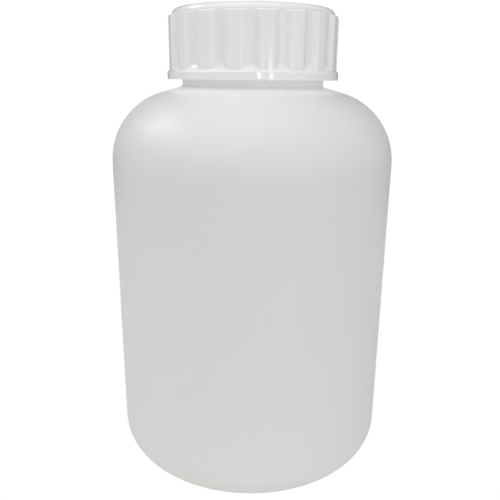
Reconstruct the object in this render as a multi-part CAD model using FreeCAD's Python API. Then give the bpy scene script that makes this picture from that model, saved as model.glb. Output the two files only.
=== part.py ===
import FreeCAD, Part
import math
import os

# A one-litre wide-mouth bottle with a ribbed screw cap and a sealing liner.
# The bottle is a blow-moulded shell, the cap an injection moulding, and the liner a punched foam disc.
# Millimetres, +Z up. The origin is the centre of the standing ring, on the surface it stands on.

# Bottle shell
BODY_DIAMETER = 103.0
BODY_WALL = 1.4
SHOULDER_TOP = 142.1
SHOULDER_SLOPE_DEGREES = 15.5
SHOULDER_RADIUS = 25.5
HEEL_RADIUS = 13.0

# Base of the bottle
BASE_WALL = 1.9
STANDING_RING_WIDTH = 4.0
PUSH_UP_HEIGHT = 3.2
PUSH_UP_SLOPE_RUN = 6.0
WELD_LENGTH = 46.0
WELD_WIDTH = 1.4
WELD_HEIGHT = 0.8
WELD_END_ROUNDING = 0.6

# Neck of the bottle
NECK_DIAMETER = 51.0
NECK_WALL = 2.3
NECK_HEIGHT = 22.6
NECK_FOOT_CHAMFER = 0.7
RIM_OUTER_CHAMFER = 0.5
RIM_INNER_CHAMFER = 0.3

# Screw thread, right-handed, of one section on the neck and in the cap
THREAD_PITCH = 5.0
THREAD_HEIGHT = 1.45
THREAD_CREST_WIDTH = 1.2
THREAD_ROOT_WIDTH = 2.6
THREAD_ROOT_BITE = 0.4
THREAD_RADIAL_CLEARANCE = 0.3
THREAD_AXIAL_CLEARANCE = 0.3
THREAD_FADE_TURNS = 0.125
THREAD_POINTS_PER_TURN = 16
NECK_THREAD_TURNS = 1.75
NECK_THREAD_START_DEGREES = 20.0
NECK_THREAD_BELOW_RIM = 2.8
CAP_THREAD_TURNS = 1.375
CAP_THREAD_STARTS_AFTER_TURNS = 0.3

# Screw cap
CAP_HEIGHT = 23.5
CAP_TOP_WALL = 1.8
CAP_SKIRT_WALL = 1.5
CROWN_ROUNDING = 2.1
FLANGE_OVERHANG = 2.0
FLANGE_BAND_HEIGHT = 2.5
FLANGE_EDGE_CHAMFER = 0.4
COVE_RADIUS = 3.2
LEAD_IN = 0.8
GATE_DIMPLE_DIAMETER = 5.0
GATE_DIMPLE_DEPTH = 0.4

# Grip ribs round the cap
RIB_COUNT = 18
RIB_HEIGHT = 1.5
RIB_CREST_WIDTH = 2.2
RIB_ROOT_WIDTH = 3.6
RIB_CREST_ROUNDING = 0.6
RIB_ROOT_BITE = 0.6
RIB_TOP_BELOW_CROWN = 3.3
RIB_PHASE_DEGREES = -1.4

# Sealing liner, and the bead that holds it in the cap
LINER_THICKNESS = 1.5
LINER_EDGE_CLEARANCE = 0.35
BEAD_HEIGHT = 0.75
BEAD_ROOT_WIDTH = 1.6
BEAD_CREST_WIDTH = 0.4
BEAD_BELOW_LINER = 0.25

# Straight steps that stand for the roundings inside the bottle and for the small ones on the cap
INSIDE_STEPS = 4
SMALL_STEPS = 3

# Radii and heights that follow from the sizes above
BODY_RADIUS = BODY_DIAMETER / 2
NECK_RADIUS = NECK_DIAMETER / 2
MOUTH_RADIUS = NECK_RADIUS - NECK_WALL
SHOULDER_SLOPE = math.tan(math.radians(SHOULDER_SLOPE_DEGREES))
SHOULDER_CORNER_Z = SHOULDER_TOP - (BODY_RADIUS - NECK_RADIUS) * SHOULDER_SLOPE
RIM_Z = SHOULDER_TOP + NECK_HEIGHT
THREAD_LOW_Z = RIM_Z - NECK_THREAD_BELOW_RIM - NECK_THREAD_TURNS * THREAD_PITCH
THREAD_FLANK_SLOPE = (THREAD_ROOT_WIDTH - THREAD_CREST_WIDTH) / 2 / THREAD_HEIGHT
SKIRT_INNER_RADIUS = NECK_RADIUS + THREAD_HEIGHT + THREAD_RADIAL_CLEARANCE
CROWN_RADIUS = SKIRT_INNER_RADIUS + CAP_SKIRT_WALL
FLANGE_RADIUS = CROWN_RADIUS + FLANGE_OVERHANG
CAP_CEILING_Z = RIM_Z + LINER_THICKNESS
CAP_TOP_Z = CAP_CEILING_Z + CAP_TOP_WALL
CAP_BOTTOM_Z = CAP_TOP_Z - CAP_HEIGHT
FLANGE_BAND_Z = CAP_BOTTOM_Z + FLANGE_BAND_HEIGHT

AXIS = FreeCAD.Vector(0, 0, 1)
ORIGIN = FreeCAD.Vector(0, 0, 0)
SLIVER = 1e-6


def rounded_wire(corners):
    """A closed wire through (point, radius) corners, each rounded by an arc tangent to its two sides."""
    points = [point for point, _ in corners]
    starts, ends, middles = [], [], []
    for i, (here, radius) in enumerate(corners):
        towards_last = (points[i - 1] - here).normalize()
        towards_next = (points[(i + 1) % len(points)] - here).normalize()
        half_angle = towards_last.getAngle(towards_next) / 2
        reach = radius / math.tan(half_angle)
        starts.append(here + towards_last * reach)
        ends.append(here + towards_next * reach)
        inwards = (towards_last + towards_next).normalize() if radius else ORIGIN
        middles.append(here + inwards * (radius / math.sin(half_angle) - radius))
    edges = []
    for i, (_, radius) in enumerate(corners):
        if radius:
            edges.append(Part.Arc(starts[i], middles[i], ends[i]).toShape())
        following = starts[(i + 1) % len(starts)]
        if ends[i].distanceToPoint(following) > SLIVER:
            edges.append(Part.LineSegment(ends[i], following).toShape())
    return Part.Wire(edges)


def turned(corners):
    """The solid that an outline of (radius, height, rounding) corners sweeps round the bottle's axis."""
    outline = rounded_wire([(FreeCAD.Vector(r, 0, z), rounding) for r, z, rounding in corners])
    return Part.Face(outline).revolve(ORIGIN, AXIS, 360)


def stepped_arc(centre_r, centre_z, radius, first_degrees, last_degrees, steps):
    """Corners for turned(), at even steps along an arc."""
    corners = []
    for i in range(steps + 1):
        angle = math.radians(first_degrees + (last_degrees - first_degrees) * i / steps)
        corners.append((centre_r + radius * math.cos(angle), centre_z + radius * math.sin(angle), 0))
    return corners


def thread_ridge(root_radius, outwards, low_z, turns, first_degrees):
    """A right-handed ridge on a round wall, outwards (+1) or inwards (-1), fading into it at both ends."""
    intervals = int(round(turns * THREAD_POINTS_PER_TURN))
    deepest = THREAD_HEIGHT + THREAD_ROOT_BITE / 2
    path = []
    for i in range(intervals + 1):
        turned_by = turns * i / intervals
        faded_in = min(1, min(turned_by, turns - turned_by) / THREAD_FADE_TURNS)
        radius = root_radius - outwards * deepest * (1 - math.sin(faded_in * math.pi / 2))
        angle = math.radians(first_degrees) + 2 * math.pi * turned_by
        height = low_z + THREAD_PITCH * turned_by
        path.append(FreeCAD.Vector(radius * math.cos(angle), radius * math.sin(angle), height))
    line = Part.BSplineCurve()
    line.interpolate(path)

    # The flanks run on into the wall, so that they cross its surface at an angle.
    start = path[0]
    across = FreeCAD.Vector(start.x, start.y, 0).normalize() * outwards
    foot = start - across * THREAD_ROOT_BITE
    crest = start + across * THREAD_HEIGHT
    foot_half = AXIS * (THREAD_ROOT_WIDTH / 2 + THREAD_FLANK_SLOPE * THREAD_ROOT_BITE)
    crest_half = AXIS * (THREAD_CREST_WIDTH / 2)
    section = Part.makePolygon([
        foot - foot_half, crest - crest_half, crest + crest_half, foot + foot_half, foot - foot_half,
    ])
    sweep = Part.BRepOffsetAPI.MakePipeShell(Part.Wire(line.toShape()))
    sweep.setBiNormalMode(AXIS)
    sweep.add(section)
    sweep.build()
    sweep.makeSolid()
    return sweep.shape()


def bottle():
    """The blown shell with its push-up base, the weld under it, and the thread on its neck."""
    ring_inner = BODY_RADIUS - HEEL_RADIUS - STANDING_RING_WIDTH
    push_up_flat = ring_inner - PUSH_UP_SLOPE_RUN
    # The shoulder's arc joins the upright wall to the slope that rises to the foot of the neck.
    shoulder_turn = 90 - SHOULDER_SLOPE_DEGREES
    shoulder_reach = SHOULDER_RADIUS * math.tan(math.radians(shoulder_turn / 2))
    shoulder_centre = BODY_RADIUS - SHOULDER_RADIUS, SHOULDER_CORNER_Z - shoulder_reach
    slope_wall = BODY_WALL * math.hypot(1, SHOULDER_SLOPE)
    heel_inside = HEEL_RADIUS - BASE_WALL
    heel_centre = BODY_RADIUS - BODY_WALL - heel_inside, HEEL_RADIUS
    outside = [
        (0, PUSH_UP_HEIGHT, 0),
        (push_up_flat, PUSH_UP_HEIGHT, 0),
        (ring_inner, 0, 0),
        (BODY_RADIUS, 0, HEEL_RADIUS),
        (BODY_RADIUS, SHOULDER_CORNER_Z, SHOULDER_RADIUS),
        (NECK_RADIUS + NECK_FOOT_CHAMFER, SHOULDER_TOP - NECK_FOOT_CHAMFER * SHOULDER_SLOPE, 0),
        (NECK_RADIUS, SHOULDER_TOP + NECK_FOOT_CHAMFER, 0),
        (NECK_RADIUS, RIM_Z - RIM_OUTER_CHAMFER, 0),
        (NECK_RADIUS - RIM_OUTER_CHAMFER, RIM_Z, 0),
    ]
    inside = [
        (MOUTH_RADIUS + RIM_INNER_CHAMFER, RIM_Z, 0),
        (MOUTH_RADIUS, RIM_Z - RIM_INNER_CHAMFER, 0),
        (MOUTH_RADIUS, SHOULDER_TOP + NECK_WALL * SHOULDER_SLOPE - slope_wall, 0),
        *stepped_arc(*shoulder_centre, SHOULDER_RADIUS - BODY_WALL, shoulder_turn, 0, INSIDE_STEPS),
        *stepped_arc(*heel_centre, heel_inside, 0, -90, INSIDE_STEPS),
        (ring_inner, BASE_WALL, 0),
        (push_up_flat, PUSH_UP_HEIGHT + BASE_WALL, 0),
        (0, PUSH_UP_HEIGHT + BASE_WALL, 0),
    ]
    ridge = thread_ridge(NECK_RADIUS, 1, THREAD_LOW_Z, NECK_THREAD_TURNS, NECK_THREAD_START_DEGREES)
    return turned(outside + inside).fuse([ridge, base_weld()])


def base_weld():
    """The raised line across the push-up where the mould pinched the tube shut, in the parting plane XZ."""
    corners = []
    for x, y in ((-1, -1), (1, -1), (1, 1), (-1, 1)):
        point = FreeCAD.Vector(x * WELD_LENGTH / 2, y * WELD_WIDTH / 2, PUSH_UP_HEIGHT - WELD_HEIGHT)
        corners.append((point, WELD_END_ROUNDING))
    bar = Part.Face(rounded_wire(corners))
    return bar.extrude(AXIS * (WELD_HEIGHT + BASE_WALL / 2))


def grip_ribs():
    """The ribs of the cap: tapered spokes, cut to length by a turned envelope that slants in at the top."""
    crest_radius = CROWN_RADIUS + RIB_HEIGHT
    foot_radius = CROWN_RADIUS - RIB_ROOT_BITE
    rib_top = CAP_TOP_Z - RIB_TOP_BELOW_CROWN
    envelope = turned([
        (foot_radius, FLANGE_BAND_Z, 0),
        (crest_radius, FLANGE_BAND_Z, 0),
        (crest_radius, rib_top, 0),
        (foot_radius, rib_top + crest_radius - foot_radius, 0),
    ])
    # A spoke reaches past the envelope inwards and upwards, where the envelope cuts it.
    half_section = [
        (foot_radius - RIB_ROOT_BITE, RIB_ROOT_WIDTH / 2, 0),
        (CROWN_RADIUS, RIB_ROOT_WIDTH / 2, 0),
        (crest_radius + SLIVER, RIB_CREST_WIDTH / 2, RIB_CREST_ROUNDING),
    ]
    corners = [(FreeCAD.Vector(x, -y, FLANGE_BAND_Z), rounding) for x, y, rounding in half_section]
    corners += [(FreeCAD.Vector(x, y, FLANGE_BAND_Z), rounding) for x, y, rounding in reversed(half_section)]
    section = Part.Face(rounded_wire(corners))
    ribs = []
    for i in range(RIB_COUNT):
        spoke = section.extrude(AXIS * CAP_HEIGHT)
        spoke.rotate(ORIGIN, AXIS, RIB_PHASE_DEGREES + 360.0 * i / RIB_COUNT)
        ribs.append(spoke.common(envelope))
    return ribs


def screw_cap():
    """The moulded cap: crown, grip ribs, coved flange, inner thread and the bead under the liner."""
    gate_radius = GATE_DIMPLE_DIAMETER / 2
    crown_centre = CROWN_RADIUS - CROWN_ROUNDING, CAP_TOP_Z - CROWN_ROUNDING
    # The cove leaves the skirt upright and ends where it meets the chamfered edge of the flange.
    cove_run = FLANGE_OVERHANG - FLANGE_EDGE_CHAMFER
    cove_degrees = math.degrees(math.acos(1 - cove_run / COVE_RADIUS))
    cove_rise = COVE_RADIUS * math.sin(math.radians(cove_degrees))
    cove_centre = CROWN_RADIUS + COVE_RADIUS, FLANGE_BAND_Z + FLANGE_EDGE_CHAMFER + cove_rise
    bead_top = RIM_Z - BEAD_BELOW_LINER
    bead_slope = (BEAD_ROOT_WIDTH - BEAD_CREST_WIDTH) / 2
    outside = [
        (0, CAP_TOP_Z - GATE_DIMPLE_DEPTH, 0),
        (gate_radius - GATE_DIMPLE_DEPTH, CAP_TOP_Z - GATE_DIMPLE_DEPTH, 0),
        (gate_radius, CAP_TOP_Z, 0),
        *stepped_arc(*crown_centre, CROWN_ROUNDING, 90, 0, SMALL_STEPS),
        *stepped_arc(*cove_centre, COVE_RADIUS, 180, 180 + cove_degrees, SMALL_STEPS),
        (FLANGE_RADIUS, FLANGE_BAND_Z, 0),
        (FLANGE_RADIUS, CAP_BOTTOM_Z + FLANGE_EDGE_CHAMFER, 0),
        (FLANGE_RADIUS - FLANGE_EDGE_CHAMFER, CAP_BOTTOM_Z, 0),
    ]
    inside = [
        (SKIRT_INNER_RADIUS + LEAD_IN, CAP_BOTTOM_Z, 0),
        (SKIRT_INNER_RADIUS, CAP_BOTTOM_Z + LEAD_IN, 0),
        (SKIRT_INNER_RADIUS, bead_top - BEAD_ROOT_WIDTH, 0),
        (SKIRT_INNER_RADIUS - BEAD_HEIGHT, bead_top - BEAD_ROOT_WIDTH + bead_slope, 0),
        (SKIRT_INNER_RADIUS - BEAD_HEIGHT, bead_top - bead_slope, 0),
        (SKIRT_INNER_RADIUS, bead_top, 0),
        (SKIRT_INNER_RADIUS, CAP_CEILING_Z, 0),
        (0, CAP_CEILING_Z, 0),
    ]
    # Drawn tight, the cap's ridge lies under the neck's ridge and bears upwards on it.
    touching = THREAD_ROOT_WIDTH - THREAD_FLANK_SLOPE * (THREAD_HEIGHT + THREAD_RADIAL_CLEARANCE)
    ridge = thread_ridge(
        SKIRT_INNER_RADIUS,
        -1,
        THREAD_LOW_Z + CAP_THREAD_STARTS_AFTER_TURNS * THREAD_PITCH - touching - THREAD_AXIAL_CLEARANCE,
        CAP_THREAD_TURNS,
        NECK_THREAD_START_DEGREES + 360.0 * CAP_THREAD_STARTS_AFTER_TURNS,
    )
    return turned(outside + inside).fuse([ridge] + grip_ribs())


def liner():
    """The foam disc, punched with square edges, that the cap presses onto the rim."""
    disc = Part.makeCylinder(SKIRT_INNER_RADIUS - LINER_EDGE_CLEARANCE, LINER_THICKNESS)
    disc.translate(AXIS * RIM_Z)
    return disc


PIECES = {
    "bottle": bottle,
    "screw_cap": screw_cap,
    "liner": liner,
}

os.makedirs("parts", exist_ok=True)
for name, make in PIECES.items():
    shape = make()
    shape.exportStep(os.path.join("parts", name + ".step"))
    box = shape.optimalBoundingBox(False, False)
    print(
        f"{name}: valid {shape.isValid()}, solids {len(shape.Solids)}, {shape.Volume / 1000:.1f} cm3, "
        f"radius {box.XMax:.2f}, z {box.ZMin:.2f} to {box.ZMax:.2f}"
    )
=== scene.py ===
# %% [markdown]
# A wide-mouth bottle, dressed for its photograph.
#
# The bottle has three pieces: a blow-moulded bottle of milky polyethylene, a ribbed screw cap moulded in
# polypropylene, and a foam liner that seals the mouth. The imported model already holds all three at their
# real size, with the joints that let the cap unscrew. This lesson makes a finer mesh for each piece, fitted
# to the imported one, and gives it a finish.

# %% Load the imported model
import bpy
import bmesh
import math
from mathutils import Matrix, Vector


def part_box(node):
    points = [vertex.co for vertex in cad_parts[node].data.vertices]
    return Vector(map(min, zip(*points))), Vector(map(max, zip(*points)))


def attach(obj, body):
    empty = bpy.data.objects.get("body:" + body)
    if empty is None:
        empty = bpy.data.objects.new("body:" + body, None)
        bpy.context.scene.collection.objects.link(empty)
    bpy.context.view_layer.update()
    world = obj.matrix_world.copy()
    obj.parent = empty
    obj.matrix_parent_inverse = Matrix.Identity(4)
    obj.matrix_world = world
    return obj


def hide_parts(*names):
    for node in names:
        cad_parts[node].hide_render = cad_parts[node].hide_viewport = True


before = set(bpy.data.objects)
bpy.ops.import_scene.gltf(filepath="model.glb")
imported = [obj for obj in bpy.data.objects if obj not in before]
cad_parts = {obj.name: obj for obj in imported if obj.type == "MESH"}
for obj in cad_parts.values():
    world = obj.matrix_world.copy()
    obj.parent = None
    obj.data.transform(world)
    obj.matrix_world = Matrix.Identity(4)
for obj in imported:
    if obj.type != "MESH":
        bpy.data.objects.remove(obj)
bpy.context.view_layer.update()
_, bottle_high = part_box("bottle")
cap_low, cap_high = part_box("screw_cap")
_, liner_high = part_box("liner")

# %% [markdown]
# Sizes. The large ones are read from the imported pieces, so the looks can't drift from the solids. The small
# ones, such as walls and roundings, are real sizes in metres. Each is written once and has a name.

# %% Sizes
MM = 0.001

BODY_RADIUS = bottle_high.x
RIM_Z = bottle_high.z
LINER_RADIUS = liner_high.x
LINER_TOP = liner_high.z
CAP_BOTTOM = cap_low.z
CAP_TOP = cap_high.z
FLANGE_RADIUS = cap_high.x

NECK_RADIUS = 25.5 * MM
NECK_WALL = 2.3 * MM
NECK_HEIGHT = 22.6 * MM
NECK_FOOT_ROUNDING = 1.0 * MM
SHOULDER_SLOPE = math.radians(15.5)
SHOULDER_RADIUS = 25.5 * MM
RIM_ROUNDING = 0.6 * MM
BODY_WALL = 1.4 * MM
BASE_WALL = 1.9 * MM
HEEL_RADIUS = 13.0 * MM
STANDING_RING = 4.0 * MM
PUSH_UP_HEIGHT = 3.2 * MM
PUSH_UP_RUN = 6.0 * MM
PUSH_UP_ROUNDING = 3.5 * MM
SHOULDER_TOP = RIM_Z - NECK_HEIGHT
SHOULDER_CORNER = SHOULDER_TOP - (BODY_RADIUS - NECK_RADIUS) * math.tan(SHOULDER_SLOPE)
MOUTH_RADIUS = NECK_RADIUS - NECK_WALL
print(f"neck foot at {SHOULDER_TOP / MM:.1f} mm, slope and wall would meet at {SHOULDER_CORNER / MM:.1f} mm")

# %% [markdown]
# An outline. Each piece is a body of revolution first, so it starts as half a section: a list of corners,
# each with its radius from the axis, its height and its rounding. A modeller could draw the roundings with a
# Bevel modifier later, but a bevel on a turned mesh has the same width all round the section. Here each
# corner has its own arc. Every straight run also gets a point close to each end. Smooth shading blends the
# normals of neighbouring faces, and these points keep that blend short, so a flat wall stays flat.

# %% Rounded outlines
ARC_STEP = math.radians(6)
FINE_ARC_STEP = math.radians(2)
LARGE_ROUNDING = 8 * MM
SUPPORT = 0.25 * MM


def rounded_corner(before, here, after, radius):
    """Points along the arc that rounds one corner. A large arc shows as a surface, so it has finer steps."""
    if not radius:
        return [here]
    to_last = (before - here).normalized()
    to_next = (after - here).normalized()
    half = to_last.angle(to_next) / 2
    centre = here + (to_last + to_next).normalized() * (radius / math.sin(half))
    start = here + to_last * (radius / math.tan(half)) - centre
    end = here + to_next * (radius / math.tan(half)) - centre
    arc_step = FINE_ARC_STEP if radius > LARGE_ROUNDING else ARC_STEP
    steps = max(2, math.ceil(start.angle(end) / arc_step))
    return [centre + start.normalized().slerp(end.normalized(), i / steps) * radius for i in range(steps + 1)]


def outline(corners, closed=False):
    """The points of an outline of (radius, height, rounding) corners, with supports beside its roundings."""
    spots = [Vector((r, 0, z)) for r, z, _ in corners]
    points = []
    for i, (_, _, rounding) in enumerate(corners):
        ends = not closed and i in (0, len(corners) - 1)
        after = spots[(i + 1) % len(spots)]
        points += rounded_corner(spots[i - 1], spots[i], after, 0 if ends else rounding)
    supported = []
    for i, point in enumerate(points):
        supported.append(point)
        following = points[(i + 1) % len(points)]
        run = following - point
        if run.length > 4 * SUPPORT and (closed or i + 1 < len(points)):
            supported += [point + run.normalized() * SUPPORT, following - run.normalized() * SUPPORT]
    return supported


def line_object(name, points):
    """An object whose mesh is only the points of an outline, for a node tree to read."""
    mesh = bpy.data.meshes.new(name)
    mesh.from_pydata(points, [(i, i + 1) for i in range(len(points) - 1)], [])
    obj = bpy.data.objects.new(name, mesh)
    bpy.context.scene.collection.objects.link(obj)
    return obj


# %% [markdown]
# Building node trees. Geometry and shader trees both need many small maths nodes. This little helper adds a
# node in one line, and takes either a number or another node's output for each input.

# %% A helper for node trees
class Tree:
    """A node tree, with short calls to add nodes and to name its inputs and outputs."""

    def __init__(self, name, kind):
        self.tree = bpy.data.node_groups.new(name, kind)
        self.nodes = self.tree.nodes
        self.source = self.nodes.new("NodeGroupInput")
        self.sink = self.nodes.new("NodeGroupOutput")

    def input(self, name, kind, default=None):
        item = self.tree.interface.new_socket(name, in_out="INPUT", socket_type=kind)
        if default is not None:
            item.default_value = default
        return self.source.outputs[name]

    def output(self, name, kind, value):
        self.tree.interface.new_socket(name, in_out="OUTPUT", socket_type=kind)
        self.tree.links.new(value, self.sink.inputs[name])

    def add(self, kind, inputs=None, **settings):
        return add_node(self.tree, kind, inputs, **settings)

    def math(self, operation, *values):
        node = self.add("ShaderNodeMath", operation=operation)
        for socket, value in zip(node.inputs, values):
            put(self.tree, socket, value)
        return node.outputs[0]


def put(tree, socket, value):
    """Links an output to the socket, or sets the socket's own value."""
    if isinstance(value, bpy.types.NodeSocket):
        tree.links.new(value, socket)
    else:
        socket.default_value = value


def add_node(tree, kind, inputs=None, **settings):
    """Adds a node with its settings, and links or sets its inputs."""
    node = tree.nodes.new(kind)
    for key, value in settings.items():
        setattr(node, key, value)
    for key, value in (inputs or {}).items():
        put(tree, node.inputs[key], value)
    return node


# %% [markdown]
# Turning. A lathe-like shape can be made with the Screw modifier, with bmesh's spin, or with a grid whose
# rows are the points of the outline and whose columns are angles. The grid is used here, because the cap's
# ribs and the screw thread are the same grid with another rule for the radius. The tree ends with Realize
# Instances and Set Material, so that what comes out is a plain mesh in its own material.

# %% Node tree: turned shell
MERGE_DISTANCE = 0.001 * MM


def grid_over_outline(tree, points, closing_rows, columns):
    """A grid with a row for each point of an outline, and for each of its points the row and the column."""
    count = tree.add("GeometryNodeAttributeDomainSize", {"Geometry": points}).outputs["Point Count"]
    rows = tree.math("ADD", count, closing_rows)
    grid = tree.add("GeometryNodeMeshGrid", {"Vertices X": rows, "Vertices Y": columns})
    index = tree.add("GeometryNodeInputIndex").outputs["Index"]
    row = tree.math("FLOOR", tree.math("DIVIDE", tree.math("ADD", index, 0.5), columns))
    column = tree.math("SUBTRACT", index, tree.math("MULTIPLY", row, columns))
    place = tree.add(
        "GeometryNodeSampleIndex",
        {
            "Geometry": points,
            "Value": tree.add("GeometryNodeInputPosition").outputs["Position"],
            "Index": tree.math("MODULO", row, count),
        },
        data_type="FLOAT_VECTOR",
    )
    parts = tree.add("ShaderNodeSeparateXYZ", {"Vector": place.outputs["Value"]})
    return grid.outputs["Mesh"], column, parts.outputs["X"], parts.outputs["Z"]


def around_axis(tree, radius, angle, height):
    """The point at this radius, angle and height about the bottle's axis."""
    across = tree.math("MULTIPLY", radius, tree.math("COSINE", angle))
    along = tree.math("MULTIPLY", radius, tree.math("SINE", angle))
    return tree.add("ShaderNodeCombineXYZ", {"X": across, "Y": along, "Z": height}).outputs["Vector"]


def finish_mesh(tree, mesh, material):
    """Merges seams and poles, smooths the shading and sets the material."""
    merged = tree.add("GeometryNodeMergeByDistance", {"Geometry": mesh, "Distance": MERGE_DISTANCE})
    smooth = tree.add("GeometryNodeSetShadeSmooth", {"Geometry": merged.outputs["Geometry"]})
    real = tree.add("GeometryNodeRealizeInstances", {"Geometry": smooth.outputs["Geometry"]})
    bare = real.outputs["Geometry"]
    painted = tree.add("GeometryNodeSetMaterial", {"Geometry": bare, "Material": material})
    tree.output("Geometry", "NodeSocketGeometry", painted.outputs["Geometry"])


turned_shell = Tree("Turned shell", "GeometryNodeTree")
points = turned_shell.input("Outline", "NodeSocketGeometry")
segments = turned_shell.input("Segments", "NodeSocketInt", 256)
first_angle = turned_shell.input("First Angle", "NodeSocketFloat", 0.0)
material = turned_shell.input("Material", "NodeSocketMaterial")
columns = turned_shell.math("ADD", segments, 1)
grid, column, radius, height = grid_over_outline(turned_shell, points, 0, columns)
turn = turned_shell.math("DIVIDE", column, segments)
angle = turned_shell.math("MULTIPLY_ADD", turn, math.tau, first_angle)
placed = turned_shell.add(
    "GeometryNodeSetPosition",
    {"Geometry": grid, "Position": around_axis(turned_shell, radius, angle, height)},
)
outwards = turned_shell.add("GeometryNodeFlipFaces", {"Mesh": placed.outputs["Geometry"]})
finish_mesh(turned_shell, outwards.outputs["Mesh"], material)
print("turned shell:", len(turned_shell.nodes), "nodes")

# %% [markdown]
# The screw thread. On the neck it is a ridge that the mould forms, and the cap has the same ridge turned
# inwards. The ridge follows a helix: its angle and its height grow together, one pitch for each turn. At both
# ends a real ridge runs out into the wall, because the mould has to open, so the section sinks by a smooth
# step there, and closes to nothing over the last part of it. A Screw modifier could make the helix, but not
# that fading end.

# %% Node tree: screw ridge
CLOSING_SHARE = 0.3

screw_ridge = Tree("Screw ridge", "GeometryNodeTree")
points = screw_ridge.input("Section", "NodeSocketGeometry")
root_radius = screw_ridge.input("Root Radius", "NodeSocketFloat", 0.025)
outward = screw_ridge.input("Outward", "NodeSocketFloat", 1.0)
low_z = screw_ridge.input("Low Z", "NodeSocketFloat", 0.15)
pitch = screw_ridge.input("Pitch", "NodeSocketFloat", 0.005)
turns = screw_ridge.input("Turns", "NodeSocketFloat", 1.75)
first_angle = screw_ridge.input("First Angle", "NodeSocketFloat", 0.0)
fade_turns = screw_ridge.input("Fade Turns", "NodeSocketFloat", 0.125)
bite = screw_ridge.input("Bite", "NodeSocketFloat", 0.0004)
steps = screw_ridge.input("Steps", "NodeSocketInt", 300)
material = screw_ridge.input("Material", "NodeSocketMaterial")
columns = screw_ridge.math("ADD", steps, 1)
grid, column, height, along = grid_over_outline(screw_ridge, points, 1, columns)
turned_by = screw_ridge.math("MULTIPLY", screw_ridge.math("DIVIDE", column, steps), turns)
from_end = screw_ridge.math("MINIMUM", turned_by, screw_ridge.math("SUBTRACT", turns, turned_by))
faded = screw_ridge.add(
    "ShaderNodeMapRange", {"Value": from_end, "From Max": fade_turns}, interpolation_type="SMOOTHSTEP"
).outputs["Result"]
pinched = screw_ridge.add(
    "ShaderNodeMapRange",
    {"Value": from_end, "From Max": screw_ridge.math("MULTIPLY", fade_turns, CLOSING_SHARE)},
    interpolation_type="SMOOTHSTEP",
).outputs["Result"]
above_bite = screw_ridge.math("MULTIPLY", screw_ridge.math("ADD", height, bite), faded)
stands = screw_ridge.math("SUBTRACT", above_bite, bite)
radius = screw_ridge.math("MULTIPLY_ADD", outward, stands, root_radius)
angle = screw_ridge.math("MULTIPLY_ADD", turned_by, math.tau, first_angle)
climbed = screw_ridge.math("MULTIPLY_ADD", turned_by, pitch, low_z)
up = screw_ridge.math("MULTIPLY_ADD", along, pinched, climbed)
placed = screw_ridge.add(
    "GeometryNodeSetPosition", {"Geometry": grid, "Position": around_axis(screw_ridge, radius, angle, up)}
)
finish_mesh(screw_ridge, placed.outputs["Geometry"], material)
print("screw ridge:", len(screw_ridge.nodes), "nodes")

# %% [markdown]
# The grip ribs. They are part of the cap's wall, so they are not separate bars stood against it: the tree
# moves points of the turned wall outwards wherever a rib passes. Round the cap, the angle is wrapped into one
# rib's share of the circle, and a smooth step gives each rib soft flanks with a filleted foot. At the top a
# slant cuts the rib off below the crown. Lower down the wall already flares into the flange, and there the
# larger of the two radii wins, so the ribs melt into the cove as they do on the moulding.

# %% Node tree: grip ribs
RIB_TOP_BLEND = 0.8 * MM
WALL_TOLERANCE = 0.01 * MM

grip_ribs = Tree("Grip ribs", "GeometryNodeTree")
wall = grip_ribs.input("Wall", "NodeSocketGeometry")
rib_count = grip_ribs.input("Rib Count", "NodeSocketInt", 18)
wall_radius = grip_ribs.input("Wall Radius", "NodeSocketFloat", 0.028)
rib_height = grip_ribs.input("Rib Height", "NodeSocketFloat", 0.0015)
crest_width = grip_ribs.input("Crest Width", "NodeSocketFloat", 0.003)
root_width = grip_ribs.input("Root Width", "NodeSocketFloat", 0.0084)
rib_top = grip_ribs.input("Rib Top", "NodeSocketFloat", 0.16)
rib_foot = grip_ribs.input("Rib Foot", "NodeSocketFloat", 0.145)
rib_phase = grip_ribs.input("Rib Phase", "NodeSocketFloat", 0.0)
top_slope = grip_ribs.input("Top Slope", "NodeSocketFloat", 1.0)
material = grip_ribs.input("Material", "NodeSocketMaterial")
place = grip_ribs.add("GeometryNodeInputPosition").outputs["Position"]
parts = grip_ribs.add("ShaderNodeSeparateXYZ", {"Vector": place})
x, y, z = parts.outputs["X"], parts.outputs["Y"], parts.outputs["Z"]
radius = grip_ribs.math("SQRT", grip_ribs.math("MULTIPLY_ADD", x, x, grip_ribs.math("MULTIPLY", y, y)))
angle = grip_ribs.math("ARCTAN2", y, x)
half_share = grip_ribs.math("DIVIDE", math.pi, rib_count)
off_rib = grip_ribs.math(
    "WRAP",
    grip_ribs.math("SUBTRACT", angle, rib_phase),
    half_share,
    grip_ribs.math("MULTIPLY", half_share, -1),
)
off_centre = grip_ribs.math("MULTIPLY", grip_ribs.math("ABSOLUTE", off_rib), wall_radius)
raised = grip_ribs.add(
    "ShaderNodeMapRange",
    {
        "Value": off_centre,
        "From Min": grip_ribs.math("MULTIPLY", root_width, 0.5),
        "From Max": grip_ribs.math("MULTIPLY", crest_width, 0.5),
    },
    interpolation_type="SMOOTHSTEP",
).outputs["Result"]
reach = grip_ribs.math("MULTIPLY_ADD", raised, rib_height, wall_radius)
above_top = grip_ribs.math("MAXIMUM", grip_ribs.math("SUBTRACT", z, rib_top), 0)
crest_radius = grip_ribs.math("ADD", wall_radius, rib_height)
slanted = grip_ribs.math("SUBTRACT", crest_radius, grip_ribs.math("MULTIPLY", above_top, top_slope))
cut = grip_ribs.math("SMOOTH_MIN", reach, slanted, RIB_TOP_BLEND)
kept = grip_ribs.math("MAXIMUM", radius, cut)
least_radius = grip_ribs.math("SUBTRACT", wall_radius, WALL_TOLERANCE)
on_wall = grip_ribs.math("GREATER_THAN", radius, least_radius)
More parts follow.
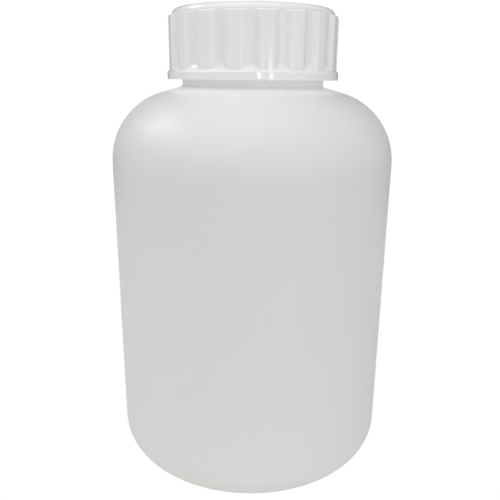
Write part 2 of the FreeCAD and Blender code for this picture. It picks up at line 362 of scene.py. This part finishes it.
on_ribs = grip_ribs.math("MULTIPLY", on_wall, grip_ribs.math("GREATER_THAN", z, rib_foot))
moved = grip_ribs.add(
    "GeometryNodeSetPosition",
    {"Geometry": wall, "Selection": on_ribs, "Position": around_axis(grip_ribs, kept, angle, z)},
)
finish_mesh(grip_ribs, moved.outputs["Geometry"], material)
print("grip ribs:", len(grip_ribs.nodes), "nodes")

# %% [markdown]
# From trees to meshes. A modifier's inputs are set by the identifiers of their sockets, before the object is
# first evaluated. The evaluated result is copied into a new plain mesh, and the modifiers are dropped, so
# the piece needs no node tree afterwards. Pieces that grow out of each other in one moulding are joined with
# an exact Boolean union, which leaves one closed skin: light that scatters inside the plastic then meets no
# hidden wall.

# %% Run the trees and join mouldings
def run_tree(obj, tree, **values):
    """Adds a node tree to an object, with its inputs set by name."""
    modifier = obj.modifiers.new(tree.tree.name, "NODES")
    modifier.node_group = tree.tree
    for item in tree.tree.interface.items_tree:
        key = item.name.lower().replace(" ", "_")
        if item.in_out == "INPUT" and key in values:
            modifier[item.identifier] = values[key]


def as_plain_mesh(obj):
    """Puts the evaluated result of an object's modifiers in its own mesh."""
    bpy.context.view_layer.update()
    evaluated = obj.evaluated_get(bpy.context.evaluated_depsgraph_get())
    mesh = bpy.data.meshes.new_from_object(evaluated)
    obj.modifiers.clear()
    obj.data = mesh
    mesh.name = obj.name
    return obj


def outward_faces(obj):
    """Turns the faces of one closed skin outwards."""
    skin = bmesh.new()
    skin.from_mesh(obj.data)
    bmesh.ops.recalc_face_normals(skin, faces=skin.faces)
    skin.to_mesh(obj.data)
    skin.free()
    return obj


def union(obj, *others):
    """Joins closed meshes into one closed skin."""
    for other in others:
        modifier = obj.modifiers.new("union", "BOOLEAN")
        modifier.operation = "UNION"
        modifier.solver = "EXACT"
        modifier.object = other
    as_plain_mesh(obj)
    for other in others:
        bpy.data.objects.remove(other)
    return obj


def report(obj):
    """Prints a piece's size and whether its skin is closed."""
    skin = bmesh.new()
    skin.from_mesh(obj.data)
    open_edges = sum(not edge.is_manifold for edge in skin.edges)
    triangles = sum(len(face.verts) - 2 for face in skin.faces)
    volume = skin.calc_volume(signed=True) / MM**3 / 1000
    skin.free()
    print(f"{obj.name}: {triangles} triangles, {open_edges} open edges, {volume:.1f} cm3")


# %% [markdown]
# The moulded skin. Plastic that was pressed or blown against steel has a faint orange-peel ripple and a very
# fine grain, and its gloss differs a little from place to place. All three finishes use this effect in
# different amounts, so it is one node group with named inputs. It gives out a height for a Bump node and a
# roughness, and it reads Object coordinates, which stay with the piece when the cap turns. A Mix node has a
# set of sockets for each kind of data under the same names, so its colour sockets are called by number.

# %% Shader group: moulded skin
moulded_skin = Tree("Moulded skin", "ShaderNodeTree")
vector = moulded_skin.input("Vector", "NodeSocketVector")
ripple_size = moulded_skin.input("Ripple Size", "NodeSocketFloat", 0.01)
ripple_depth = moulded_skin.input("Ripple Depth", "NodeSocketFloat", 0.00002)
grain_size = moulded_skin.input("Grain Size", "NodeSocketFloat", 0.0004)
grain_depth = moulded_skin.input("Grain Depth", "NodeSocketFloat", 0.000002)
roughness = moulded_skin.input("Roughness", "NodeSocketFloat", 0.4)
patchiness = moulded_skin.input("Patchiness", "NodeSocketFloat", 0.05)
ripple = moulded_skin.add(
    "ShaderNodeTexNoise",
    {"Vector": vector, "Scale": moulded_skin.math("DIVIDE", 1, ripple_size), "Detail": 1.0},
).outputs["Fac"]
grain = moulded_skin.add(
    "ShaderNodeTexNoise",
    {"Vector": vector, "Scale": moulded_skin.math("DIVIDE", 1, grain_size), "Detail": 2.0},
).outputs["Fac"]
rippled = moulded_skin.math("MULTIPLY", ripple, ripple_depth)
skin_height = moulded_skin.math("MULTIPLY_ADD", grain, grain_depth, rippled)
unevenness = moulded_skin.math("SUBTRACT", ripple, 0.5)
skin_roughness = moulded_skin.math("MULTIPLY_ADD", unevenness, patchiness, roughness)
moulded_skin.output("Height", "NodeSocketFloat", skin_height)
moulded_skin.output("Roughness", "NodeSocketFloat", skin_roughness)
moulded_skin.output("Mottle", "NodeSocketFloat", ripple)
print("moulded skin:", len(moulded_skin.nodes), "nodes")


COLOUR_A = 6
COLOUR_B = 7
COLOUR_RESULT = 2


def plastic(name, pale, deep, skin, **settings):
    """A material of moulded plastic: two near colours mottled together, with the skin's bump and gloss."""
    made = bpy.data.materials.new(name)
    made.use_nodes = True
    tree = made.node_tree
    shader = tree.nodes["Principled BSDF"]
    for socket, value in settings.items():
        shader.inputs[socket.replace("_", " ")].default_value = value
    coordinates = tree.nodes.new("ShaderNodeTexCoord").outputs["Object"]
    group = add_node(tree, "ShaderNodeGroup", node_tree=moulded_skin.tree)
    put(tree, group.inputs["Vector"], coordinates)
    for socket, value in skin.items():
        group.inputs[socket.replace("_", " ")].default_value = value
    blend = add_node(tree, "ShaderNodeMix", data_type="RGBA")
    put(tree, blend.inputs["Factor"], group.outputs["Mottle"])
    blend.inputs[COLOUR_A].default_value = (*pale, 1)
    blend.inputs[COLOUR_B].default_value = (*deep, 1)
    put(tree, shader.inputs["Base Color"], blend.outputs[COLOUR_RESULT])
    put(tree, shader.inputs["Roughness"], group.outputs["Roughness"])
    bump = add_node(tree, "ShaderNodeBump", {"Height": group.outputs["Height"], "Distance": 1.0})
    put(tree, shader.inputs["Normal"], bump.outputs["Normal"])
    print("finish:", name)
    return made


# %% [markdown]
# Painted glow. In the photograph the foot of the neck is far brighter than a shaded corner should be, and
# none of the lamps tried for this scene lit it enough. So this group paints light there: a faint colour for
# the shader's emission, strongest on a ring at the neck's foot and gone at its reach, so the neck glows
# though it is no lamp.
# A likely cause of the real brightness, not tested here, is light that enters the milky wall elsewhere, runs
# along inside it and leaves at the foot.

# %% Shader group: painted neck glow
painted_glow = Tree("Painted neck glow", "ShaderNodeTree")
vector = painted_glow.input("Vector", "NodeSocketVector")
ring_colour = painted_glow.input("Ring Colour", "NodeSocketColor", (0.1, 0.1, 0.1, 1))
ring_radius = painted_glow.input("Ring Radius", "NodeSocketFloat", 0.025)
ring_height = painted_glow.input("Ring Height", "NodeSocketFloat", 0.14)
reach = painted_glow.input("Reach", "NodeSocketFloat", 0.008)
parts = painted_glow.add("ShaderNodeSeparateXYZ", {"Vector": vector})
off_axis = painted_glow.math(
    "SQRT",
    painted_glow.math("ADD", *[painted_glow.math("POWER", parts.outputs[axis], 2) for axis in ("X", "Y")]),
)
aside = painted_glow.math("POWER", painted_glow.math("SUBTRACT", off_axis, ring_radius), 2)
above = painted_glow.math("POWER", painted_glow.math("SUBTRACT", parts.outputs["Z"], ring_height), 2)
off_ring = painted_glow.math("SQRT", painted_glow.math("ADD", aside, above))
nearness = painted_glow.add(
    "ShaderNodeMapRange",
    {"Value": off_ring, "From Min": reach, "From Max": 0},
    interpolation_type="SMOOTHSTEP",
)
lit = painted_glow.add("ShaderNodeMix", data_type="RGBA")
put(painted_glow.tree, lit.inputs["Factor"], nearness.outputs["Result"])
lit.inputs[COLOUR_A].default_value = (0, 0, 0, 1)
put(painted_glow.tree, lit.inputs[COLOUR_B], ring_colour)
painted_glow.output("Glow", "NodeSocketColor", lit.outputs[COLOUR_RESULT])
print("painted neck glow:", len(painted_glow.nodes), "nodes")

# %% [markdown]
# The bottle's plastic is natural polyethylene: unpigmented, milky, and only one or two millimetres thick. A
# glass shader would let sharp shapes show through, and plain diffuse paint looks like chalk. Subsurface
# scattering in a real, closed wall is the honest way: light goes in, spreads a few millimetres and leaves by
# either side, so the hollow bottle glows softly and looks a little greyer than the solid cap.

# %% Finish: natural polyethylene
# Painted light: an emission glow on the neck's foot and the shoulder beside it, where the flange's shade
# falls.
PAINTED_NECK_GLOW = (0.195, 0.191, 0.187)
PAINTED_GLOW_OUTSET = 2.0 * MM
PAINTED_GLOW_DROP = 0.5 * MM
PAINTED_GLOW_REACH = 8.0 * MM

polyethylene = plastic(
    "Natural polyethylene",
    pale=(0.976, 0.969, 0.970),
    deep=(0.966, 0.959, 0.960),
    skin={
        "Ripple_Size": 14 * MM,
        "Ripple_Depth": 0.05 * MM,
        "Grain_Size": 0.5 * MM,
        "Grain_Depth": 0.0015 * MM,
        "Roughness": 0.38,
        "Patchiness": 0.06,
    },
    Subsurface_Weight=1.0,
    Subsurface_Radius=(1.0, 1.0, 1.0),
    Subsurface_Scale=3.5 * MM,
    IOR=1.54,
    Emission_Strength=1.0,
)
tree = polyethylene.node_tree
# Painted light: the glow group puts an emission ring at the neck's foot, which lightens the shade under the
# flange.
painted_glow_node = add_node(tree, "ShaderNodeGroup", node_tree=painted_glow.tree)
put(tree, painted_glow_node.inputs["Vector"], tree.nodes["Texture Coordinate"].outputs["Object"])
painted_glow_node.inputs["Ring Colour"].default_value = (*PAINTED_NECK_GLOW, 1)
painted_glow_node.inputs["Ring Radius"].default_value = NECK_RADIUS + PAINTED_GLOW_OUTSET
painted_glow_node.inputs["Ring Height"].default_value = SHOULDER_TOP - PAINTED_GLOW_DROP
painted_glow_node.inputs["Reach"].default_value = PAINTED_GLOW_REACH
put(tree, tree.nodes["Principled BSDF"].inputs["Emission Color"], painted_glow_node.outputs["Glow"])

# %% [markdown]
# The cap is polypropylene with white pigment. It is thicker, denser and shinier than the bottle, so the
# light spreads less in it and the highlights are tighter.

# %% Finish: white polypropylene
polypropylene = plastic(
    "White polypropylene",
    pale=(0.890, 0.884, 0.883),
    deep=(0.876, 0.870, 0.869),
    skin={
        "Ripple_Size": 6 * MM,
        "Ripple_Depth": 0.008 * MM,
        "Grain_Size": 0.3 * MM,
        "Grain_Depth": 0.001 * MM,
        "Roughness": 0.13,
        "Patchiness": 0.05,
    },
    Subsurface_Weight=1.0,
    Subsurface_Radius=(1.0, 1.0, 1.0),
    Subsurface_Scale=0.3 * MM,
    IOR=1.49,
)

# %% [markdown]
# The liner is a disc of fine closed-cell foam. Its skin is quite matt, with cells about a third of a
# millimetre across.

# %% Finish: foam
foam = plastic(
    "Closed-cell foam",
    pale=(0.90, 0.90, 0.88),
    deep=(0.84, 0.84, 0.82),
    skin={
        "Ripple_Size": 1.2 * MM,
        "Ripple_Depth": 0.03 * MM,
        "Grain_Size": 0.3 * MM,
        "Grain_Depth": 0.03 * MM,
        "Roughness": 0.75,
        "Patchiness": 0.1,
    },
    Subsurface_Weight=0.4,
    Subsurface_Radius=(1.0, 1.0, 1.0),
    Subsurface_Scale=0.6 * MM,
)

# %% [markdown]
# The bottle. Blow moulding inflates a hot tube inside a steel mould, so the outside has clean, large
# roundings and the inside follows it at the wall's thickness. The base is pushed up, so that the bottle
# stands on a ring. The outline runs from the middle of the base outwards, up the outside, over the rim and
# down the inside.

# %% Make the bottle
BOTTLE_SEGMENTS = 256

ring_inner = BODY_RADIUS - HEEL_RADIUS - STANDING_RING
push_up_flat = ring_inner - PUSH_UP_RUN
slope_wall = BODY_WALL / math.cos(SHOULDER_SLOPE)
inner_foot = SHOULDER_TOP + NECK_WALL * math.tan(SHOULDER_SLOPE) - slope_wall
inner_corner = SHOULDER_CORNER + BODY_WALL * math.tan(SHOULDER_SLOPE) - slope_wall
bottle_outline = outline([
    (0, PUSH_UP_HEIGHT, 0),
    (push_up_flat, PUSH_UP_HEIGHT, PUSH_UP_ROUNDING),
    (ring_inner, 0, PUSH_UP_ROUNDING),
    (BODY_RADIUS, 0, HEEL_RADIUS),
    (BODY_RADIUS, SHOULDER_CORNER, SHOULDER_RADIUS),
    (NECK_RADIUS, SHOULDER_TOP, NECK_FOOT_ROUNDING),
    (NECK_RADIUS, RIM_Z, RIM_ROUNDING),
    (MOUTH_RADIUS, RIM_Z, RIM_ROUNDING),
    (MOUTH_RADIUS, inner_foot, NECK_WALL),
    (BODY_RADIUS - BODY_WALL, inner_corner, SHOULDER_RADIUS - BODY_WALL),
    (BODY_RADIUS - BODY_WALL, BASE_WALL, HEEL_RADIUS - BASE_WALL),
    (ring_inner, BASE_WALL, PUSH_UP_ROUNDING),
    (push_up_flat, PUSH_UP_HEIGHT + BASE_WALL, PUSH_UP_ROUNDING),
    (0, PUSH_UP_HEIGHT + BASE_WALL, 0),
])
bottle = line_object("bottle_shell", bottle_outline)
run_tree(bottle, turned_shell, segments=BOTTLE_SEGMENTS, material=polyethylene)
as_plain_mesh(bottle)
report(bottle)

# %% [markdown]
# The thread's section is a low trapezium with rounded crests, the usual form on plastic necks, because it
# leaves the mould easily. Its foot goes a little way into the wall. The neck's ridge starts low and climbs to
# just under the rim.

# %% Make the thread
THREAD_PITCH = 5.0 * MM
THREAD_HEIGHT = 1.45 * MM
THREAD_CREST_WIDTH = 1.2 * MM
THREAD_ROOT_WIDTH = 2.6 * MM
THREAD_CREST_ROUNDING = 0.3 * MM
THREAD_BITE = 0.4 * MM
THREAD_GAP = 0.3 * MM
THREAD_FADE_TURNS = 0.125
THREAD_STEPS_PER_TURN = 200
NECK_THREAD_TURNS = 1.75
NECK_THREAD_ANGLE = math.radians(20)
NECK_THREAD_BELOW_RIM = 2.8 * MM
NECK_THREAD_LOW = RIM_Z - NECK_THREAD_BELOW_RIM - NECK_THREAD_TURNS * THREAD_PITCH
flank_slope = (THREAD_ROOT_WIDTH - THREAD_CREST_WIDTH) / 2 / THREAD_HEIGHT
foot_half = THREAD_ROOT_WIDTH / 2 + flank_slope * THREAD_BITE
thread_section = outline([
    (-THREAD_BITE, -foot_half, 0),
    (THREAD_HEIGHT, -THREAD_CREST_WIDTH / 2, THREAD_CREST_ROUNDING),
    (THREAD_HEIGHT, THREAD_CREST_WIDTH / 2, THREAD_CREST_ROUNDING),
    (-THREAD_BITE, foot_half, 0),
], closed=True)


def thread(name, root_radius, outward, low_z, turns, first_angle, material):
    """A ridge of the thread's section on a round wall, outwards (1) or inwards (-1)."""
    ridge = line_object(name, thread_section)
    run_tree(
        ridge,
        screw_ridge,
        root_radius=root_radius,
        outward=float(outward),
        low_z=low_z,
        pitch=THREAD_PITCH,
        turns=turns,
        first_angle=first_angle,
        fade_turns=THREAD_FADE_TURNS,
        bite=THREAD_BITE,
        steps=int(turns * THREAD_STEPS_PER_TURN),
        material=material,
    )
    return outward_faces(as_plain_mesh(ridge))


neck_thread = thread(
    "neck_thread", NECK_RADIUS, 1, NECK_THREAD_LOW, NECK_THREAD_TURNS, NECK_THREAD_ANGLE, polyethylene
)
report(neck_thread)

# %% [markdown]
# Under the base, the mould's halves pinch the hot tube shut and leave a raised weld along the parting plane.
# It is a round-ended bar: a small sphere, cut in half in thought, with its two halves moved apart.

# %% Make the weld
WELD_LENGTH = 46 * MM
WELD_WIDTH = 1.4 * MM
WELD_DROP = 0.8 * MM


def weld_bar():
    """The raised weld across the push-up, as a closed bar that sinks into the base."""
    bar = bmesh.new()
    bmesh.ops.create_uvsphere(bar, u_segments=24, v_segments=16, radius=WELD_WIDTH / 2)
    reach = WELD_LENGTH / 2 - WELD_WIDTH / 2
    for vertex in bar.verts:
        side = 0 if abs(vertex.co.x) < 1e-9 else math.copysign(1, vertex.co.x)
        vertex.co.x += side * reach
        vertex.co.z += PUSH_UP_HEIGHT - WELD_DROP + WELD_WIDTH / 2
    mesh = bpy.data.meshes.new("weld")
    bar.to_mesh(mesh)
    bar.free()
    mesh.polygons.foreach_set("use_smooth", [True] * len(mesh.polygons))
    mesh.materials.append(polyethylene)
    obj = bpy.data.objects.new("weld", mesh)
    bpy.context.scene.collection.objects.link(obj)
    return obj


union(bottle, neck_thread, weld_bar())
report(bottle)
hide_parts("bottle")
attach(bottle, "bottle")

# %% [markdown]
# The screw cap. Its outline runs from the middle of the crown, past the gate mark, round the crown's edge,
# down the skirt, out along a cove to the flange, and back up the inside, past the bead that holds the liner.
# Far more columns are needed round it than round the bottle, because each rib's flank is narrow: a whole
# number of columns for each rib makes all the ribs alike. The wall also gets close rows where the ribs end,
# so that their tops are cut off cleanly. These rows stay below the crown's rounding, or the outline would
# fold back on itself. The cove meets the flange's edge at the end of its arc, and a radius that is a hair
# too small keeps the two points apart.

# %% Make the screw cap
RIB_COUNT = 18
COLUMNS_PER_RIB = 30
RIB_PHASE = math.radians(-1.4)
RIB_HEIGHT = 1.5 * MM
RIB_CREST_WIDTH = 3.0 * MM
RIB_ROOT_WIDTH = 8.4 * MM
RIB_TOP_BELOW_CROWN = 2.6 * MM
RIB_TOP_SLOPE = 3.4
RIB_TOP_ROW_STEP = 0.09 * MM
RIB_TOP_ROWS_ABOVE = 5
RIB_TOP_ROWS_BELOW = 8
FLANGE_OVERHANG = 2.0 * MM
FLANGE_BAND = 2.5 * MM
FLANGE_ROUNDING = 0.4 * MM
COVE_RADIUS = 3.2 * MM
COVE_FIT = 0.999
CROWN_ROUNDING = 2.1 * MM
CAP_LIP_ROUNDING = 0.35 * MM
LEAD_IN = 0.8 * MM
INNER_ROUNDING = 0.5 * MM
BEAD_HEIGHT = 0.75 * MM
BEAD_WIDTH = 1.6 * MM
BEAD_ROUNDING = 0.4 * MM
BEAD_BELOW_RIM = 0.25 * MM
GATE_RADIUS = 2.5 * MM
GATE_DEPTH = 0.4 * MM
GATE_ROUNDING = 0.2 * MM

crown_radius = FLANGE_RADIUS - FLANGE_OVERHANG
skirt_inner = NECK_RADIUS + THREAD_HEIGHT + THREAD_GAP
rib_top = CAP_TOP - RIB_TOP_BELOW_CROWN
band_top = CAP_BOTTOM + FLANGE_BAND
bead_top = RIM_Z - BEAD_BELOW_RIM
cove_run = FLANGE_OVERHANG - FLANGE_ROUNDING
cove_angle = math.acos(1 - cove_run / COVE_RADIUS)
cove_foot = band_top + FLANGE_ROUNDING
cove_corner = cove_foot + COVE_RADIUS * (math.sin(cove_angle) - math.tan(cove_angle / 2))
rib_top_rows = [
    (crown_radius, rib_top + i * RIB_TOP_ROW_STEP, 0)
    for i in range(RIB_TOP_ROWS_ABOVE, -RIB_TOP_ROWS_BELOW - 1, -1)
]
cap_outline = outline([
    (0, CAP_TOP - GATE_DEPTH, 0),
    (GATE_RADIUS - GATE_DEPTH, CAP_TOP - GATE_DEPTH, GATE_ROUNDING),
    (GATE_RADIUS, CAP_TOP, GATE_ROUNDING),
    (crown_radius, CAP_TOP, CROWN_ROUNDING),
    *rib_top_rows,
    (crown_radius, cove_corner, COVE_RADIUS * COVE_FIT),
    (crown_radius + cove_run, cove_foot, 0),
    (FLANGE_RADIUS, band_top, FLANGE_ROUNDING),
    (FLANGE_RADIUS, CAP_BOTTOM, CAP_LIP_ROUNDING),
    (skirt_inner + LEAD_IN, CAP_BOTTOM, CAP_LIP_ROUNDING),
    (skirt_inner, CAP_BOTTOM + LEAD_IN, CAP_LIP_ROUNDING),
    (skirt_inner, bead_top - BEAD_WIDTH, 0),
    (skirt_inner - BEAD_HEIGHT, bead_top - BEAD_WIDTH / 2, BEAD_ROUNDING),
    (skirt_inner, bead_top, 0),
    (skirt_inner, LINER_TOP, INNER_ROUNDING),
    (0, LINER_TOP, 0),
])
cap = line_object("ribbed_cap", cap_outline)
run_tree(
    cap,
    turned_shell,
    segments=RIB_COUNT * COLUMNS_PER_RIB,
    first_angle=RIB_PHASE,
    material=polypropylene,
)
run_tree(
    cap,
    grip_ribs,
    rib_count=RIB_COUNT,
    wall_radius=crown_radius,
    rib_height=RIB_HEIGHT,
    crest_width=RIB_CREST_WIDTH,
    root_width=RIB_ROOT_WIDTH,
    rib_top=rib_top,
    top_slope=RIB_TOP_SLOPE,
    rib_foot=band_top,
    rib_phase=RIB_PHASE,
    material=polypropylene,
)
outward_faces(as_plain_mesh(cap))
report(cap)

# %% [markdown]
# The cap's own thread is the neck's section turned inwards. It starts three tenths of a turn further round
# and lies just under the neck's ridge, so that turning the cap pulls it down.

# %% Make the cap's thread
CAP_THREAD_TURNS = 1.375
CAP_THREAD_AFTER_TURNS = 0.3
meeting_width = THREAD_ROOT_WIDTH - flank_slope * (THREAD_HEIGHT + THREAD_GAP)
cap_thread = thread(
    "cap_thread",
    skirt_inner,
    -1,
    NECK_THREAD_LOW + CAP_THREAD_AFTER_TURNS * THREAD_PITCH - meeting_width - THREAD_GAP,
    CAP_THREAD_TURNS,
    NECK_THREAD_ANGLE + CAP_THREAD_AFTER_TURNS * math.tau,
    polypropylene,
)
union(cap, cap_thread)
report(cap)
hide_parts("screw_cap")
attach(cap, "cap")

# %% [markdown]
# The liner. It is punched from foam sheet, so its edge is sharp but soft. The rim has pressed a shallow ring
# into its face, which shows when the cap is off.

# %% Make the liner
LINER_EDGE_ROUNDING = 0.3 * MM
LINER_SEGMENTS = 192
PRESSED_DEPTH = 0.12 * MM
PRESSED_SIDE = 0.3 * MM
PRESSED_LIP_ROUNDING = 0.4 * MM
PRESSED_FOOT_ROUNDING = 0.1 * MM

liner_face = RIM_Z - PRESSED_DEPTH
liner_outline = outline([
    (0, liner_face, 0),
    (MOUTH_RADIUS - PRESSED_SIDE, liner_face, PRESSED_LIP_ROUNDING),
    (MOUTH_RADIUS, RIM_Z, PRESSED_FOOT_ROUNDING),
    (NECK_RADIUS, RIM_Z, PRESSED_FOOT_ROUNDING),
    (NECK_RADIUS + PRESSED_SIDE, liner_face, PRESSED_LIP_ROUNDING),
    (LINER_RADIUS, liner_face, LINER_EDGE_ROUNDING),
    (LINER_RADIUS, LINER_TOP, LINER_EDGE_ROUNDING),
    (0, LINER_TOP, 0),
])
liner = line_object("foam_liner", liner_outline)
run_tree(liner, turned_shell, segments=LINER_SEGMENTS, material=foam)
as_plain_mesh(liner)
report(liner)
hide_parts("liner")
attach(liner, "liner")

# %% [markdown]
# The camera stands close to the bottle, a little lower than the cap's top, and looks down by 16.5 degrees. So
# the cap's top face is hidden, while the shoulder and the flange show as open curves. It is also turned and
# rolled by a fraction of a degree, as a camera in the hand is. All of this was fitted to the outline.

# %% Camera
CAMERA_PLACE = (0, -0.2212, 0.1454)
CAMERA_LENS = 41.904
CAMERA_TILT = math.radians(90 - 16.54)
CAMERA_PAN = math.radians(0.12)
CAMERA_ROLL = math.radians(0.52)

camera_data = bpy.data.cameras.new("camera")
camera_data.sensor_width = 36
camera_data.lens = CAMERA_LENS
camera = bpy.data.objects.new("camera", camera_data)
level = Matrix.Rotation(CAMERA_PAN, 4, "Z") @ Matrix.Rotation(CAMERA_TILT, 4, "X")
camera.matrix_world = (
    Matrix.Translation(CAMERA_PLACE) @ level @ Matrix.Rotation(CAMERA_ROLL, 4, "Z")
)
bpy.context.scene.collection.objects.link(camera)
bpy.context.scene.camera = camera
print(f"camera: {CAMERA_LENS} mm lens, {-CAMERA_PLACE[1] / MM:.0f} mm before the bottle's axis")

# %% [markdown]
# The floor. In the photograph the ground is brighter than the film can show, so the floor and the tent round
# it look pure white to the camera, while they light the bottle with a gentler grey. The Light Path node tells
# the two kinds of ray apart. The floor's own faint glow lights the lower body from below. The disc is small,
# so that level light from the tent still reaches the neck under the flange.

# %% Floor
CAMERA_WHITE = 1.02
FLOOR_COLOUR = (0.60, 0.594, 0.57)
FLOOR_ROUGHNESS = 0.8
FLOOR_GLOW_COLOUR = (1.0, 0.99, 0.95)
FLOOR_GLOW = 0.184
FLOOR_RADIUS = 0.5


def white_to_camera(tree, other, output):
    """Mixes pure white for the camera's own rays with another shader for all other rays."""
    path = tree.nodes.new("ShaderNodeLightPath")
    white = add_node(tree, "ShaderNodeEmission", {"Color": (1, 1, 1, 1), "Strength": CAMERA_WHITE})
    mix = tree.nodes.new("ShaderNodeMixShader")
    tree.links.new(path.outputs["Is Camera Ray"], mix.inputs["Fac"])
    tree.links.new(other, mix.inputs[1])
    tree.links.new(white.outputs["Emission"], mix.inputs[2])
    tree.links.new(mix.outputs["Shader"], output)


floor_material = bpy.data.materials.new("Pale floor")
floor_material.use_nodes = True
floor_nodes = floor_material.node_tree.nodes
floor_shader = floor_nodes["Principled BSDF"]
floor_shader.inputs["Base Color"].default_value = (*FLOOR_COLOUR, 1)
floor_shader.inputs["Roughness"].default_value = FLOOR_ROUGHNESS
floor_shader.inputs["Emission Color"].default_value = (*FLOOR_GLOW_COLOUR, 1)
floor_shader.inputs["Emission Strength"].default_value = FLOOR_GLOW
white_to_camera(
    floor_material.node_tree,
    floor_shader.outputs["BSDF"],
    floor_nodes["Material Output"].inputs["Surface"],
)
floor_mesh = bpy.data.meshes.new("floor")
floor_disc = bmesh.new()
bmesh.ops.create_circle(floor_disc, cap_ends=True, segments=64, radius=FLOOR_RADIUS)
floor_disc.to_mesh(floor_mesh)
floor_disc.free()
floor_mesh.materials.append(floor_material)
floor = bpy.data.objects.new("floor", floor_mesh)
bpy.context.scene.collection.objects.link(floor)
print(f"floor: a disc of {FLOOR_RADIUS} m radius")

# %% [markdown]
# The tent. A world of one plain glow would light the bottle alike from all sides and leave it flat. This one
# is bright on the camera's side and fades towards the far side. A separate band at the horizon, with its own
# two glows, reaches under the flange, where the light from above can't.

# %% Tent
TENT_COLOUR = (0.998, 0.979, 0.986)
TENT_FRONT_GLOW = 1.385
TENT_BACK_GLOW = 0.0
HORIZON_FRONT_GLOW = 0.515
HORIZON_BACK_GLOW = 0.20
HORIZON_CORE = 0.2
HORIZON_EDGE = 0.5

tent = bpy.data.worlds.new("tent")
tent.use_nodes = True
tent_glow = tent.node_tree.nodes["Background"]
tent_glow.inputs["Color"].default_value = (*TENT_COLOUR, 1)
direction = add_node(tent.node_tree, "ShaderNodeTexCoord").outputs["Generated"]
towards = add_node(tent.node_tree, "ShaderNodeSeparateXYZ", {"Vector": direction})


def glow_by_depth(front, back):
    """A glow that runs from the camera's side of the tent to the far side."""
    ends = {"Value": towards.outputs["Y"], "From Min": -1, "From Max": 1, "To Min": front, "To Max": back}
    return add_node(tent.node_tree, "ShaderNodeMapRange", ends).outputs["Result"]


above = add_node(tent.node_tree, "ShaderNodeMath", {0: towards.outputs["Z"]}, operation="ABSOLUTE")
near_horizon = add_node(
    tent.node_tree,
    "ShaderNodeMapRange",
    {"Value": above.outputs["Value"], "From Min": HORIZON_EDGE, "From Max": HORIZON_CORE},
    interpolation_type="SMOOTHSTEP",
)
glow = add_node(
    tent.node_tree,
    "ShaderNodeMix",
    {
        "Factor": near_horizon.outputs["Result"],
        "A": glow_by_depth(TENT_FRONT_GLOW, TENT_BACK_GLOW),
        "B": glow_by_depth(HORIZON_FRONT_GLOW, HORIZON_BACK_GLOW),
    },
)
put(tent.node_tree, tent_glow.inputs["Strength"], glow.outputs["Result"])
white_to_camera(
    tent.node_tree, tent_glow.outputs["Background"], tent.node_tree.nodes["World Output"].inputs["Surface"]
)
bpy.context.scene.world = tent
print("tent:", len(tent.node_tree.nodes), "nodes")

# %% [markdown]
# Lamps. A large softbox on the left makes the bright patch on the shoulder, a low one on the right opens up
# the shaded side, and one overhead lights the slope. The small, bright ones are there for what they mirror
# in the cap: a thin strip overhead draws the light lines on the tops of the ribs, and the two at eye level
# make the pair of glints on the flange. The spot was placed for a third glint, left of the middle, but the
# cove doesn't mirror it there, so that glint is still missing.

# %% Lamps
LAMP_DISTANCE = 0.8
LAMP_AIM = (0, 0, 0.1)


def softbox(name, azimuth, elevation, width, height, brightness):
    """An area light aimed at the bottle. Azimuth runs from the camera's side towards the right."""
    data = bpy.data.lights.new(name, "AREA")
    data.shape = "RECTANGLE"
    data.size = width
    data.size_y = height
    data.energy = brightness * math.pi * width * height
    lamp = bpy.data.objects.new(name, data)
    turn = Matrix.Rotation(math.radians(azimuth), 4, "Z")
    tilt = Matrix.Rotation(math.radians(90 - elevation), 4, "X")
    away = Matrix.Translation((0, 0, LAMP_DISTANCE))
    lamp.matrix_world = Matrix.Translation(LAMP_AIM) @ turn @ tilt @ away
    bpy.context.scene.collection.objects.link(lamp)
    print(f"{name}: {width} by {height} m at {azimuth} degrees round and {elevation} up")


softbox("ceiling_strip", 0, 66, 0.9, 0.035, 5.0)
softbox("overhead_softbox", 0, 80, 0.6, 0.6, 0.40)
softbox("eye_level_lamp", 8, 3.3, 0.03, 0.045, 30)
softbox("second_eye_level_lamp", 23, 3.3, 0.03, 0.045, 24)
softbox("spot_lamp", -15, 50, 0.04, 0.04, 18)
softbox("left_softbox", -100, 40, 0.25, 0.25, 4.9)
softbox("low_right_softbox", 50, 8, 0.6, 0.25, 0.52)
bpy.context.scene.view_settings.view_transform = "Standard"
